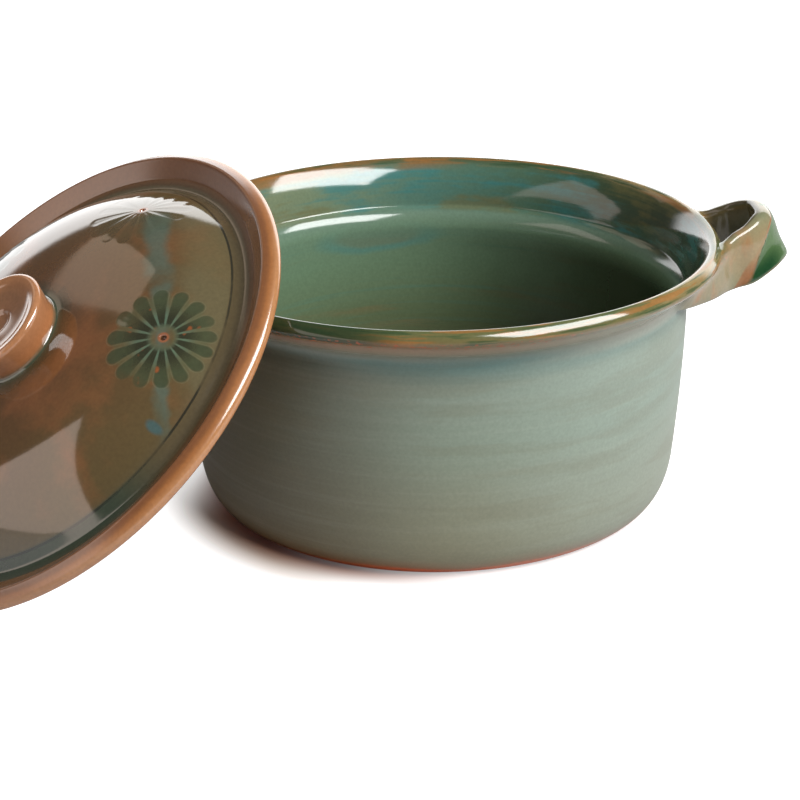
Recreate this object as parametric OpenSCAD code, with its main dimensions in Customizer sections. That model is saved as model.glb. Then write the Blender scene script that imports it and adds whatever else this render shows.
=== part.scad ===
// Glazed terracotta cooking pot: a thrown body with two pulled strap handles, and a domed lid
// with a thrown knob. The lid leans on the left side of the pot.
// Millimetres, +Z up, origin at the middle of the pot's base. The handles point along X.

/* [Pot body] */
// Outer radius of the wall at the neck, under the rim
body_r = 118.2; // [110:0.2:128]
// Height from the table to the top of the lip
pot_h = 125.7; // [115:0.1:140]
// How much narrower the wall is at the top of the heel than at the neck
wall_taper = 4.5; // [1:0.1:9]
// Height of the rounded heel, where the wall turns in to the foot
heel_h = 24.5; // [16:0.1:32]
// How far the edge of the foot stands in from the heel
foot_in = 14.8; // [9:0.1:20]
// Thickness of the thrown wall
wall_t = 6.3; // [5:0.1:8]
// Thickness of the floor
floor_t = 7; // [5:0.1:10]
// Width of the inside curve from the wall to the floor
bowl_in = 22; // [12:0.5:30]

/* [Rim] */
// How far the middle of the lip stands out past the neck
rim_out = 11.8; // [9:0.1:15]
// Thickness of the rounded lip
lip_d = 7.4; // [6:0.1:9]
// Drop from the top of the lip to the crease at the neck
neck_drop = 18; // [15:0.1:22]
// Drop from the top of the lip to the edge of the ledge that carries the lid
seat_drop = 23.1; // [20:0.1:28]
// How far the edge of the ledge stands out past the inner wall
seat_w = 4.7; // [3.5:0.1:5.5]
// Radius of the soft curve from the ledge down to the wall
seat_round = 14; // [9:0.5:16]

/* [Handles] */
// Turn of the handles' line from the X axis
handle_turn = 6.3; // [-10:0.1:10]
// How far the middle of the strap's lower edge stands out past the lip at the tip
handle_out = 36; // [30:0.1:42]
// Width between the middles of the two legs of one handle
handle_w = 43.6; // [36:0.1:50]
// Half angle between the two ends of one handle, seen from the pot's middle
handle_spread = 27.5; // [25:0.1:31]
// How far the horn at the tip stands above the top of the lip
horn_up = 8.6; // [3:0.1:12]
// Drop from the top of the lip to the underside of the tip
tip_drop = 16.2; // [13:0.1:20]
// Drop from the top of the lip to the underside of the legs
leg_drop = 24.7; // [21:0.1:27]
// Thickness of the strap at the tip
strap_t = 8.8; // [7:0.1:10]
// Thickness of the strap's legs
leg_t = 7.6; // [6:0.1:9]
// Depth of the thumb mark pressed into the front
thumb_depth = 4.2; // [0:0.1:5]

/* [Lid] */
// Gap all round between the lid and the inside of the pot's lip
lid_gap = 4.4; // [3:0.1:8]
// Thickness of the rolled edge
roll_d = 6.8; // [5:0.1:8]
// Height of the crest above the middle of the roll
crest_h = 5.5; // [4:0.1:8]
// How far the crest stands in from the lid's edge
crest_in = 5.2; // [4:0.1:6]
// How far the outer corner of the channel stands in from the lid's edge
channel_in = 13.3; // [11:0.1:16]
// Width of the channel's floor
channel_w = 5.8; // [3:0.1:9]
// Rise of the dome above the middle of the roll
dome_rise = 29.4; // [20:0.1:40]
// Thickness of the lid's wall
lid_t = 5.4; // [4.5:0.1:8]
// Thickness of the lid under the channel
channel_t = 3.2; // [3:0.1:5]
// Radius of the knob at its foot
knob_foot_r = 22.4; // [18:0.1:24]
// Radius of the knob at its rim
knob_r = 25; // [23:0.1:29]
// Height of the knob above the dome
knob_h = 15.6; // [11:0.1:22]
// Depth of the dish in the knob's top
knob_dish = 2.4; // [1:0.1:4]
// Radius of the thumb mark in the middle of the knob
thumb_r = 8; // [5:0.1:10]

/* [Rosettes] */
// Number of rosettes round the dome
rosettes = 5; // [3:1:5]
// Turn from one rosette to the next, spaced by hand, with a wider last gap
rosette_step = 66.2; // [65:0.05:70]
// Turn of the first rosette from the lid's lowest point
rosette_turn = 115.8; // [100:0.1:130]
// Distance from the lid's edge to the middle of a rosette
rosette_in = 41.1; // [38:0.1:46]
// Number of petals in one rosette
petals = 15; // [9:1:15]
// Distance from the vent hole to where a petal's round end is widest
petal_out = 20; // [18:0.1:22]
// How much further out the petals reach towards the knob, pressed by hand
petal_shift = 2.8; // [0:0.1:3.2]
// Turn of the petals from the line to the lid's middle
petal_turn = -4; // [-12:0.5:12]
// Width of a petal at its round end
petal_w = 6.2; // [4:0.1:6.8]
// Depth of a petal's round end
petal_depth = 0.7; // [0.6:0.1:1.4]
// Width of the vent hole in the middle of each rosette
vent_d = 3; // [2:0.1:5]

/* [Leaning lid] */
// Tilt of the lid from lying flat
lean_angle = 42.4; // [38:0.1:48]
// Direction that the lid's top faces, from the X axis
lean_turn = 215.3; // [206:0.1:226]
// How far the lid's middle stands to the side of the pot's middle, across that direction
lean_side = -40; // [-48:0.1:-30]
// Clear distance between the leaning lid and the pot
lean_gap = 0.3; // [0.2:0.05:1]

/* [Hidden] */
$fn = 90;

lip_r = body_r + rim_out;
lip_z = pot_h - lip_d / 2;
neck_z = pot_h - neck_drop;
heel_r = body_r - wall_taper;
foot_r = heel_r - foot_in;
inner_r = body_r - wall_t;
seat_z = pot_h - seat_drop;
neck_round = 9;

lid_r = lip_r - lip_d / 2 - lid_gap;
roll_r = lid_r - roll_d / 2;
crest_r = lid_r - crest_in;
crest_round = 1.5;
channel_r = lid_r - channel_in;
dome_r = channel_r - channel_w;
channel_slope = 0.5;
knob_top = dome_rise + knob_h;
knob_round = 2.3;
rosette_r = lid_r - rosette_in;
petal_in = 4.5;
petal_tip = 0.8;
tip_depth = 0.4;

// Helpers for outlines: arcs, cubic curves, rounded corners and tangents
function lerp(a, b, t) = a + (b - a) * t;
function unit(v) = v / norm(v);
function arc(c, r, a0, a1, n) = [for (i = [0:n])
    c + r * [cos(lerp(a0, a1, i / n)), sin(lerp(a0, a1, i / n))]];
function cubic(p, t) = let(u = 1 - t)
    u * u * u * p[0] + 3 * u * u * t * p[1] + 3 * u * t * t * p[2] + t * t * t * p[3];
function curve(p, n) = [for (i = [0:n]) cubic(p, i / n)];
function corner(a, b, c, r, n) = let(u = unit(a - b), v = unit(c - b), half = acos(u * v) / 2,
        d = r / tan(half), o = b + unit(u + v) * r / sin(half), p = b + u * d - o, q = b + v * d - o,
        a0 = atan2(p.y, p.x), turn = atan2(p.x * q.y - p.y * q.x, p * q))
    arc(o, r, a0, a0 + turn, n);
// Direction from a point to a circle of radius r round c, along the tangent on the right (-1) or left (1)
function touch(p, c, r, side) = atan2(c.y - p.y, c.x - p.x) + side * asin(r / norm(c - p));

// Outline of the body, from the middle of the base, up the outside and down the inside
heel_curve = [[foot_r, 0], [foot_r + foot_in * 0.39, 0], [heel_r - heel_h * 0.08, heel_h * 0.2],
    [heel_r, heel_h]];
wall_top = neck_z - 6.5;
wall_curve = [[heel_r, heel_h], [heel_r + wall_taper * 0.48, lerp(heel_h, wall_top, 0.28)],
    [body_r, lerp(heel_h, wall_top, 0.66)], [body_r, wall_top]];
neck = [body_r, neck_z];
lip = [lip_r, lip_z];
seat = [inner_r + seat_w, seat_z];
flare_angle = touch(neck, lip, lip_d / 2, -1);
lip_side = lip + lip_d / 2 * [cos(-20), sin(-20)];
brow = lip + lip_d / 2 * [cos(92), sin(92)];
brim = lip + lip_d / 2 * [cos(138), sin(138)];
lip_face = [lip_side, lip_side + lip_d * 0.175 * [cos(70), sin(70)],
    brow - lip_d * 0.175 * [cos(182), sin(182)], brow];
lip_section = concat(
    arc(lip, lip_d / 2, flare_angle - 90, -20, 3),
    [for (i = [1:4]) cubic(lip_face, i / 5)],
    arc(lip, lip_d / 2, 92, 138, 3));
riser = seat + [1.5, 2.4];
funnel_curve = [brim, brim + 8 * [cos(228), sin(228)], riser - 7 * [cos(255), sin(255)], riser];
ledge_curve = [riser, riser + 1.3 * [cos(255), sin(255)], seat - 1.3 * [cos(214), sin(214)], seat];
throat = [inner_r, seat_z - seat_round * 0.76];
seat_curve = [seat, seat + seat_round * 0.29 * [cos(218), sin(218)],
    throat + [0, seat_round * 0.29], throat];
bowl_curve = [[inner_r - wall_taper, floor_t + bowl_in],
    [inner_r - wall_taper - 1, floor_t + bowl_in * 0.35],
    [inner_r - wall_taper - bowl_in * 0.45, floor_t],
    [inner_r - wall_taper - bowl_in * 1.2, floor_t]];
inner_curve = [throat, [inner_r, lerp(seat_z, heel_h, 0.4)],
    [inner_r - wall_taper * 0.6, lerp(seat_z, heel_h, 0.6)], bowl_curve[0]];
pot_outline = concat(
    [[0, 0]],
    curve(heel_curve, 7),
    [for (i = [1:6]) cubic(wall_curve, i / 6)],
    corner([body_r, 0], neck, neck + [cos(flare_angle), sin(flare_angle)], neck_round, 4),
    lip_section,
    [for (i = [1:5]) cubic(funnel_curve, i / 5)],
    [cubic(ledge_curve, 0.5)],
    curve(seat_curve, 4),
    [for (i = [1:5]) cubic(inner_curve, i / 5)],
    [for (i = [1:7]) cubic(bowl_curve, i / 7)],
    [[0, floor_t]]);

// One handle: a strap swept round from one end to the other. s runs from -1 to 1 with 0 at the tip.
// The tables give the strap's upper and lower edge at the tip, shoulder, leg, joint and end:
// out is past the middle of the lip, side is from the handle's middle line.
stations = [0, 0.2, 0.35, 0.5, 0.62, 0.74, 0.87, 1];
end_top = (lip_r - 1.2) * [cos(handle_spread - 1.2), sin(handle_spread - 1.2)];
end_low = (lip_r - 11) * [cos(handle_spread + 3.5), sin(handle_spread + 3.5)];
joint_top = (lip_r + 1.2) * [cos(handle_spread * 0.55), sin(handle_spread * 0.55)];
joint_low = (lip_r - 1.2) * [cos(handle_spread * 0.64), sin(handle_spread * 0.64)];
top_out = [for (k = [0.665, 0.645, 0.55, 0.41, 0.236, 0.085]) lip_r + handle_out * k];
top_side = [for (k = [0, 0.39, 0.615, 0.835, 0.954, 1.12]) handle_w / 2 * k];
top_up = [horn_up, horn_up * 0.97, horn_up * 0.83, horn_up * 0.54, 1.7, -0.9, -2.4, -4.5];
low_out = [for (k = [1, 0.85, 0.695, 0.46, 0.25, 0.07]) lip_r + handle_out * k];
low_side = [for (k = [0, 0.505, 0.735, 0.95, 1, 1.19]) handle_w / 2 * k];
low_up = -[tip_drop, lerp(tip_drop, leg_drop, 0.12), lerp(tip_drop, leg_drop, 0.42),
    lerp(tip_drop, leg_drop, 0.82), leg_drop, leg_drop + 0.5, leg_drop - 0.5, leg_drop - 3.2];
thickness = [strap_t, strap_t, lerp(strap_t, leg_t, 0.5), leg_t, leg_t, leg_t, leg_t - 1, 4.5];
top_table = [concat(top_out, [joint_top.x, end_top.x]), concat(top_side, [joint_top.y, end_top.y]), top_up];
low_table = [concat(low_out, [joint_low.x, end_low.x]), concat(low_side, [joint_low.y, end_low.y]), low_up];
top_wide = 1.12;
leg_narrow = 0.86;
sections = 40;
ring = 16;
function knot(s, i = 0) = (i >= len(stations) - 2 || s < stations[i + 1]) ? i : knot(s, i + 1);
function slope(y, i, odd) = i == 0 && !odd ? 0 : let(a = max(i - 1, 0), b = min(i + 1, len(y) - 1))
    (y[b] - y[a]) / (stations[b] - stations[a]);
// Smooth curve through a table, read at station s; odd tables change sign at the tip
function smooth(y, s, odd = false) = let(i = knot(s), h = stations[i + 1] - stations[i],
        u = (s - stations[i]) / h)
    y[i] * (1 + 2 * u) * (1 - u) * (1 - u) + slope(y, i, odd) * h * u * (1 - u) * (1 - u)
    + y[i + 1] * u * u * (3 - 2 * u) - slope(y, i + 1, odd) * h * u * u * (1 - u);
function edge_point(table, s) = [smooth(table[0], s), smooth(table[1], s, true),
    pot_h + smooth(table[2], s)];
function strap_mid(s, w) = lerp(edge_point(top_table, s), edge_point(low_table, s), w);
// The thumb mark widens fast from the horn and is deepest beside its ridges; w is 0 above, 1 below
function thumb_edge(w) = 0.61 * pow(min(1, w / 0.95), 0.5);
function thumb(s, w) = let(u = s / max(0.05, thumb_edge(w)), fade = sin(180 * pow(min(1, w / 0.93), 1.7)))
    u < 1 ? thumb_depth * (0.35 + 0.65 * u * u) * (1 - pow(u, 6)) * fade : 0;
function strap_point(s, k) = let(t = abs(s), a = 360 * k / ring,
        inner_top = sin(a) > 0 && cos(a) < 0,
        w = 0.5 - 0.5 * sign(sin(a)) * pow(abs(sin(a)), inner_top ? 0.4 : 0.75),
        side = sign(cos(a)) * pow(abs(cos(a)), inner_top ? 0.4 : 0.6),
        p = strap_mid(t, w), d = strap_mid(min(1, t + 0.01), w) - strap_mid(max(0, t - 0.01), w),
        out = t < 0.01 ? [1, 0] : unit([d.y, -d.x]),
        thick = smooth(thickness, t) * lerp(lerp(top_wide, leg_narrow, min(1, t / 0.6)), 1, w),
        xy = [p.x, p.y] + out * (side * thick / 2 - max(0, side) * thumb(t, w)))
    [xy.x, s < 0 ? xy.y : -xy.y, p.z];
strap_points = [for (i = [0:sections], k = [0:ring - 1]) strap_point(2 * i / sections - 1, k)];
strap_faces = concat(
    [for (i = [0:sections - 1], k = [0:ring - 1], half = [0, 1]) let(a = i * ring + k,
        b = i * ring + (k + 1) % ring, c = a + ring, d = b + ring) half == 0 ? [a, d, b] : [a, c, d]],
    [[for (k = [0:ring - 1]) k]],
    [[for (k = [0:ring - 1]) sections * ring + ring - 1 - k]]);

// Outline of the lid, from the middle of the knob, down the outside and back underneath
function dome_z(r) = dome_rise - (dome_rise + channel_slope) * pow(r / dome_r, 4);
function dome_slope(r) = -4 * (dome_rise + channel_slope) / dome_r * pow(r / dome_r, 3);
function under_dome(r) = [r, dome_z(r)] + lid_t * unit([dome_slope(r), -1]);
roll = [roll_r, 0];
crest = [crest_r, crest_h - crest_round];
crest_angle = atan2(crest.y, crest.x - roll.x) - acos((roll_d / 2 - crest_round) / norm(crest - roll));
channel = [channel_r, 0];
lip_angle = touch(channel, crest, crest_round, 1) + 90;
roll_under = roll + roll_d / 2 * [cos(-105), sin(-105)];
keel_curve = [roll_under, [roll_under.x - 7.5, 0.4 - channel_t], [dome_r - 1, -channel_t - 1.3],
    under_dome(dome_r - 1)];
knob_rim = [knob_r - knob_round, knob_top - knob_round];
knob_side = [[knob_r - 0.25, knob_rim.y - 1], [knob_foot_r + 1.2, lerp(dome_rise, knob_top, 0.5)],
    [knob_foot_r - 0.6, dome_rise + 3.5], [knob_foot_r, dome_rise + 1]];
lid_over = concat(
    [[0, knob_top - knob_dish - 2.2]],
    [[thumb_r * 0.6, knob_top - knob_dish - 1.9]],
    [[thumb_r - 0.8, knob_top - knob_dish - 0.5]],
    [[thumb_r + 2, knob_top - knob_dish]],
    [[lerp(thumb_r, knob_rim.x, 0.6), knob_top - knob_dish * 0.68]],
    [[knob_rim.x - 2.2, knob_top - knob_dish * 0.18]],
    arc(knob_rim, knob_round, 110, -15, 6),
    [for (i = [1:5]) cubic(knob_side, i / 5)],
    [[knob_foot_r + 0.7, dome_rise + 0.2]],
    [for (r = [knob_foot_r + 2.2, 34, 46, 56, 64, 71, 77, 82.5, 87, 91, 94.5, 98]) [r, dome_z(r)]],
    corner([dome_r - 1, dome_z(dome_r - 1)], [dome_r, -channel_slope], channel, 2, 2),
    corner([dome_r, -channel_slope], channel,
        crest + crest_round * [cos(lip_angle), sin(lip_angle)], 1.5, 2));
lid_edge = concat(
    arc(crest, crest_round, lip_angle, crest_angle, 4),
    arc(roll, roll_d / 2, crest_angle, -105, 8));
lid_under = concat(
    curve(keel_curve, 7),
    [for (i = [1:11]) under_dome((dome_r - 1) * (1 - pow(i / 11, 1.6)))]);
lid_outline = concat(lid_over, lid_edge, lid_under);

// The lean: the lid stands on its edge and slides up to the pot until only lean_gap is left
lid_z = roll_r * sin(lean_angle) + roll_d / 2;
function lid_at(slide) = [slide * cos(lean_turn) - lean_side * sin(lean_turn),
    slide * sin(lean_turn) + lean_side * cos(lean_turn), lid_z];
// A point of the pot seen in the lid's own outline: distance from its axis, and height
function in_lid(p, slide) = let(q = p - lid_at(slide), x = q.x * cos(lean_turn) + q.y * sin(lean_turn),
        y = q.y * cos(lean_turn) - q.x * sin(lean_turn))
    [norm([x * cos(lean_angle) - q.z * sin(lean_angle), y]), x * sin(lean_angle) + q.z * cos(lean_angle)];
facing = concat(lid_edge, lid_under);
function to_segment(p, a, b) = let(ab = b - a, t = min(1, max(0, (p - a) * ab / (ab * ab))))
    norm(p - a - ab * t);
function to_lid(p, slide) = let(q = in_lid(p, slide))
    min([for (i = [0:len(facing) - 2]) to_segment(q, facing[i], facing[i + 1])]);
lip_ring = [for (a = [150:2.5:290], p = lip_section) [p.x * cos(a), p.x * sin(a), p.y]];
turned = handle_turn + 180;
strap_ring = [for (s = [-0.5:0.125:0.5], k = [0:2:ring - 1]) let(p = strap_point(s, k))
    [p.x * cos(turned) - p.y * sin(turned), p.x * sin(turned) + p.y * cos(turned), p.z]];
function clear_by(slide) = min(min([for (p = lip_ring) to_lid(p, slide)]),
    min([for (p = strap_ring) to_lid(p, slide)]) - 0.3);
function approach(slide) = clear_by(slide - 2) < lean_gap ? slide : approach(slide - 2);
function settle(near, far, n) = n == 0 ? far : let(mid = (near + far) / 2)
    clear_by(mid) < lean_gap ? settle(mid, far, n - 1) : settle(near, mid, n - 1);
far_slide = approach(lip_r + roll_r * cos(lean_angle) + 12);
lid_slide = settle(far_slide - 2, far_slide, 8);

module handle() {
    polyhedron(strap_points, strap_faces, convexity = 6);
}

module pot() {
    color([0.42, 0.45, 0.36]) {
        rotate_extrude(convexity = 6) polygon(pot_outline);
        for (side = [0, 180])
            rotate([0, 0, handle_turn + side]) handle();
    }
}

// Cone-shaped cutter between two balls, as a petal's round end and its point
module petal_cutter(a, ra, b, rb) {
    v = b - a;
    lean = asin((rb - ra) / norm(v));
    translate(b) sphere(rb, $fn = 48);
    translate(a)
        rotate([0, acos(v.z / norm(v)), atan2(v.y, v.x)])
            cylinder(h = norm(v) - rb * sin(lean), r1 = ra * cos(lean), r2 = rb * cos(lean) * 0.996,
                $fn = 48);
}

// Petals pressed round a vent hole, cut where the dome has the radius rosette_r
module rosette() {
    ball = (petal_w * petal_w / 4 + petal_depth * petal_depth) / (2 * petal_depth);
    squeeze = cos(atan(dome_slope(rosette_r)));
    for (i = [0:petals - 1])
        let(a = petal_turn + i * 360 / petals)
            petal_cutter(over_dome(petal_in, a, squeeze, petal_tip - tip_depth), petal_tip,
                over_dome(petal_out - petal_shift * cos(a), a, squeeze, ball - petal_depth), ball);
    translate([rosette_r, 0, dome_z(rosette_r)])
        rotate([0, -atan(dome_slope(rosette_r)), 0])
            cylinder(h = 4 * lid_t, d = vent_d, center = true, $fn = 32);
}
// Point at a distance and a direction from a rosette's middle, raised above the dome by up
function over_dome(d, a, squeeze, up) = let(x = rosette_r + d * cos(a) * squeeze, y = d * sin(a),
        r = norm([x, y]))
    [x, y, dome_z(r)] + up * unit([-dome_slope(r) * x / r, -dome_slope(r) * y / r, 1]);

module lid() {
    color([0.72, 0.5, 0.33])
        translate(lid_at(lid_slide))
            rotate([0, 0, lean_turn]) rotate([0, lean_angle, 0])
                difference() {
                    rotate_extrude(convexity = 6) polygon(lid_outline);
                    for (i = [0:rosettes - 1])
                        rotate([0, 0, rosette_turn + i * rosette_step]) rosette();
                }
}

pot();
lid();
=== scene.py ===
"""A glazed terracotta cooking pot with its domed lid leaning on its side."""

import math
from types import SimpleNamespace

import bmesh
import bpy
import numpy as np
from mathutils import Matrix, Vector, kdtree


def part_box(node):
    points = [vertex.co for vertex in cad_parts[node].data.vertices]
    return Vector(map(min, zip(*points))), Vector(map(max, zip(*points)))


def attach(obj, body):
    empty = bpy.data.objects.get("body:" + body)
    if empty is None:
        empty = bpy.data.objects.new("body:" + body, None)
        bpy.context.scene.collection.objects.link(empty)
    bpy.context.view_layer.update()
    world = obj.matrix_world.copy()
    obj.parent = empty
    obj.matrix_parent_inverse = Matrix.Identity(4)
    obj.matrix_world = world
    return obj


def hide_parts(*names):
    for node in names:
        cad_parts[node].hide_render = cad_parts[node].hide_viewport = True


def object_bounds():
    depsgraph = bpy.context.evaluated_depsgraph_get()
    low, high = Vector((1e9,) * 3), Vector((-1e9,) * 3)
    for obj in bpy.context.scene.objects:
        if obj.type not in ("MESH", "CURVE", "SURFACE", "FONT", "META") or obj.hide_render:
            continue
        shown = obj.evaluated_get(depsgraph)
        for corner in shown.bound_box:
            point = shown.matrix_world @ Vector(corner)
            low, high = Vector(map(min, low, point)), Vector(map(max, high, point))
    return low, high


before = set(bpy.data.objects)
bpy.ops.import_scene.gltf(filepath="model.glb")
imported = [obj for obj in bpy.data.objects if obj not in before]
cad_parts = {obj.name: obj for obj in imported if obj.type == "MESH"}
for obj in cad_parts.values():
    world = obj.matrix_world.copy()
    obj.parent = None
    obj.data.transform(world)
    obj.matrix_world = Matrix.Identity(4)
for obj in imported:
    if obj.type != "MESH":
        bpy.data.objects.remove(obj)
cad_low, cad_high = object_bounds()
lid_low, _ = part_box("lid")

MM = 0.001

# Sizes in millimetres, angles in degrees and counts, as in the part's source. Only the petals are
# pressed shallower
BODY_R, POT_H, WALL_TAPER, HEEL_H, FOOT_IN = 118.2, 125.7, 4.5, 24.5, 14.8
WALL_T, FLOOR_T, BOWL_IN = 6.3, 7, 22
RIM_OUT, LIP_D, NECK_DROP, SEAT_DROP, SEAT_W, SEAT_ROUND = 11.8, 7.4, 18, 23.1, 4.7, 14
HANDLE_TURN, HANDLE_OUT, HANDLE_W, HANDLE_SPREAD = 6.3, 36, 43.6, 27.5
HORN_UP, TIP_DROP, LEG_DROP, STRAP_T, LEG_T, THUMB_DEPTH = 8.6, 16.2, 24.7, 8.8, 7.6, 4.2
LID_GAP, ROLL_D, CREST_H, CREST_IN, CHANNEL_IN, CHANNEL_W = 4.4, 6.8, 5.5, 5.2, 13.3, 5.8
DOME_RISE, LID_T, CHANNEL_T = 29.4, 5.4, 3.2
KNOB_FOOT_R, KNOB_R, KNOB_H, KNOB_DISH, THUMB_R = 22.4, 25, 15.6, 2.4, 8
ROSETTES, ROSETTE_STEP, ROSETTE_TURN, ROSETTE_IN, PETALS = 5, 66.2, 115.8, 41.1, 15
PETAL_OUT, PETAL_SHIFT, PETAL_TURN, PETAL_W, PETAL_DEPTH, VENT_D = 21, 3.2, -4, 7, 0.08, 3
PETAL_START, PETAL_TIP = 4.5, 0.8
LEAN_ANGLE, LEAN_TURN = 42.4, 215.3

LIP_R, LIP_Z = BODY_R + RIM_OUT, POT_H - LIP_D / 2
NECK_Z, HEEL_R = POT_H - NECK_DROP, BODY_R - WALL_TAPER
FOOT_R, INNER_R, SEAT_Z = HEEL_R - FOOT_IN, BODY_R - WALL_T, POT_H - SEAT_DROP
LID_R = LIP_R - LIP_D / 2 - LID_GAP
ROLL_R, CREST_R, CREST_ROUND = LID_R - ROLL_D / 2, LID_R - CREST_IN, 1.5
CHANNEL_R = LID_R - CHANNEL_IN
DOME_R, CHANNEL_SLOPE = CHANNEL_R - CHANNEL_W, 0.5
KNOB_TOP, KNOB_ROUND, ROSETTE_R = DOME_RISE + KNOB_H, 2.3, LID_R - ROSETTE_IN
DOME_END = DOME_R - 4.8

# The thumb's mark, as shares of the strap: how far down and how far to each side it reaches
THUMB_END, THUMB_SPREAD = 0.95, 0.61

# The teal drip on the dome, on the lid's own plane: its start, its run and how far it bows
DRIP_START, DRIP_SPAN, DRIP_BOW = (-80, 10), (85, 93), 9

# How finely the lid is divided, and how far round a rosette it is divided once and twice more
LID_ANGLES, DOME_RINGS, REFINED = 216, 42, (27, 26)

# The dome faces up where its normal's rise is over this
FACING_UP = 0.2

# How far each side of a handle's seam is worked smooth, and how many times
SEAM_BLEND, SEAM_ROUNDS = 7, 26


# Outlines: each is a list of points (distance from the axis, height)

def lerp(a, b, t):
    return a + (b - a) * t


def point(x, y):
    return np.array([x, y], float)


def unit(v):
    return v / np.linalg.norm(v)


def turned(degrees):
    return point(math.cos(math.radians(degrees)), math.sin(math.radians(degrees)))


def arc(centre, radius, start, end, steps):
    return [centre + radius * turned(lerp(start, end, i / steps)) for i in range(steps + 1)]


def curve(corners, steps):
    a, b, c, d = (np.array(p, float) for p in corners)
    ts = [i / steps for i in range(steps + 1)]
    return [a * (1 - t) ** 3 + b * 3 * (1 - t) ** 2 * t + c * 3 * (1 - t) * t * t + d * t ** 3 for t in ts]


def rounded(before, at, after, radius, steps):
    u, v = unit(before - at), unit(after - at)
    half = math.acos(float(u @ v)) / 2
    along = radius / math.tan(half)
    centre = at + unit(u + v) * radius / math.sin(half)
    p, q = at + u * along - centre, at + v * along - centre
    start = math.degrees(math.atan2(p[1], p[0]))
    turn = math.degrees(math.atan2(p[0] * q[1] - p[1] * q[0], float(p @ q)))
    return arc(centre, radius, start, start + turn, steps)


def tangent(p, centre, radius, side):
    d = centre - p
    return math.degrees(math.atan2(d[1], d[0])) + side * math.degrees(math.asin(radius / np.linalg.norm(d)))


def spaced(points, step):
    """The outline with points about one step apart, its own points kept."""
    out = [points[0]]
    for a, b in zip(points, points[1:]):
        length = np.linalg.norm(b - a)
        if length < 0.02:
            continue
        n = max(1, round(length / step))
        out += [lerp(a, b, (i + 1) / n) for i in range(n)]
    return out


def pot_outline():
    """The body from the middle of its base, up the outside and down the inside, and its zones."""
    heel = [point(FOOT_R, 0), point(FOOT_R + FOOT_IN * 0.39, 0),
            point(HEEL_R - HEEL_H * 0.08, HEEL_H * 0.2), point(HEEL_R, HEEL_H)]
    wall_top = NECK_Z - 6.5
    wall = [heel[3], point(HEEL_R + WALL_TAPER * 0.48, lerp(HEEL_H, wall_top, 0.28)),
            point(BODY_R, lerp(HEEL_H, wall_top, 0.66)), point(BODY_R, wall_top)]
    neck, lip = point(BODY_R, NECK_Z), point(LIP_R, LIP_Z)
    seat = point(INNER_R + SEAT_W, SEAT_Z)
    flare = tangent(neck, lip, LIP_D / 2, -1)
    side, brow, brim = (lip + LIP_D / 2 * turned(a) for a in (-20, 92, 138))
    lip_face = [side, side + LIP_D * 0.175 * turned(70), brow - LIP_D * 0.175 * turned(182), brow]
    riser = seat + point(1.5, 2.4)
    funnel = [brim, brim + 8 * turned(228), riser - 7 * turned(255), riser]
    ledge = [riser, riser + 1.3 * turned(255), seat - 1.3 * turned(214), seat]
    throat = point(INNER_R, SEAT_Z - SEAT_ROUND * 0.76)
    seat_edge = [seat, seat + SEAT_ROUND * 0.29 * turned(218), throat + point(0, SEAT_ROUND * 0.29), throat]
    waist = INNER_R - WALL_TAPER
    bowl = [point(waist, FLOOR_T + BOWL_IN), point(waist - 1, FLOOR_T + BOWL_IN * 0.35),
            point(waist - BOWL_IN * 0.45, FLOOR_T), point(waist - BOWL_IN * 1.2, FLOOR_T)]
    inner = [throat, point(INNER_R, lerp(SEAT_Z, HEEL_H, 0.4)),
             point(INNER_R - WALL_TAPER * 0.6, lerp(SEAT_Z, HEEL_H, 0.6)), bowl[0]]
    zones = [
        ("base", [point(0, 0), point(FOOT_R, 0)], 8),
        ("heel", curve(heel, 24), 1.5),
        ("wall", curve(wall, 30), 3),
        ("neck", rounded(point(BODY_R, 0), neck, neck + turned(flare), 9, 10), 1.5),
        ("flare", [neck + turned(flare) * 7, lip + LIP_D / 2 * turned(flare - 90)], 1.2),
        ("bead", arc(lip, LIP_D / 2, flare - 90, -20, 9), 1.5),
        ("lip face", curve(lip_face, 18), 1.5),
        ("brim", arc(lip, LIP_D / 2, 92, 138, 9), 1.5),
        ("funnel", curve(funnel, 22), 1.5),
        ("seat", curve(ledge, 8) + curve(seat_edge, 16)[1:], 1.5),
        ("inside", curve(inner, 24), 3),
        ("bowl", curve(bowl, 20), 3),
        ("floor", [point(0, FLOOR_T)], 6),
    ]
    return join_zones(zones)


def dome_z(r):
    return DOME_RISE - (DOME_RISE + CHANNEL_SLOPE) * (r / DOME_R) ** 4


def dome_slope(r):
    return -4 * (DOME_RISE + CHANNEL_SLOPE) / DOME_R * (r / DOME_R) ** 3


def on_dome(r):
    return point(r, dome_z(r))


def under_dome(r):
    return on_dome(r) + LID_T * unit(point(dome_slope(r), -1))


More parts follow.
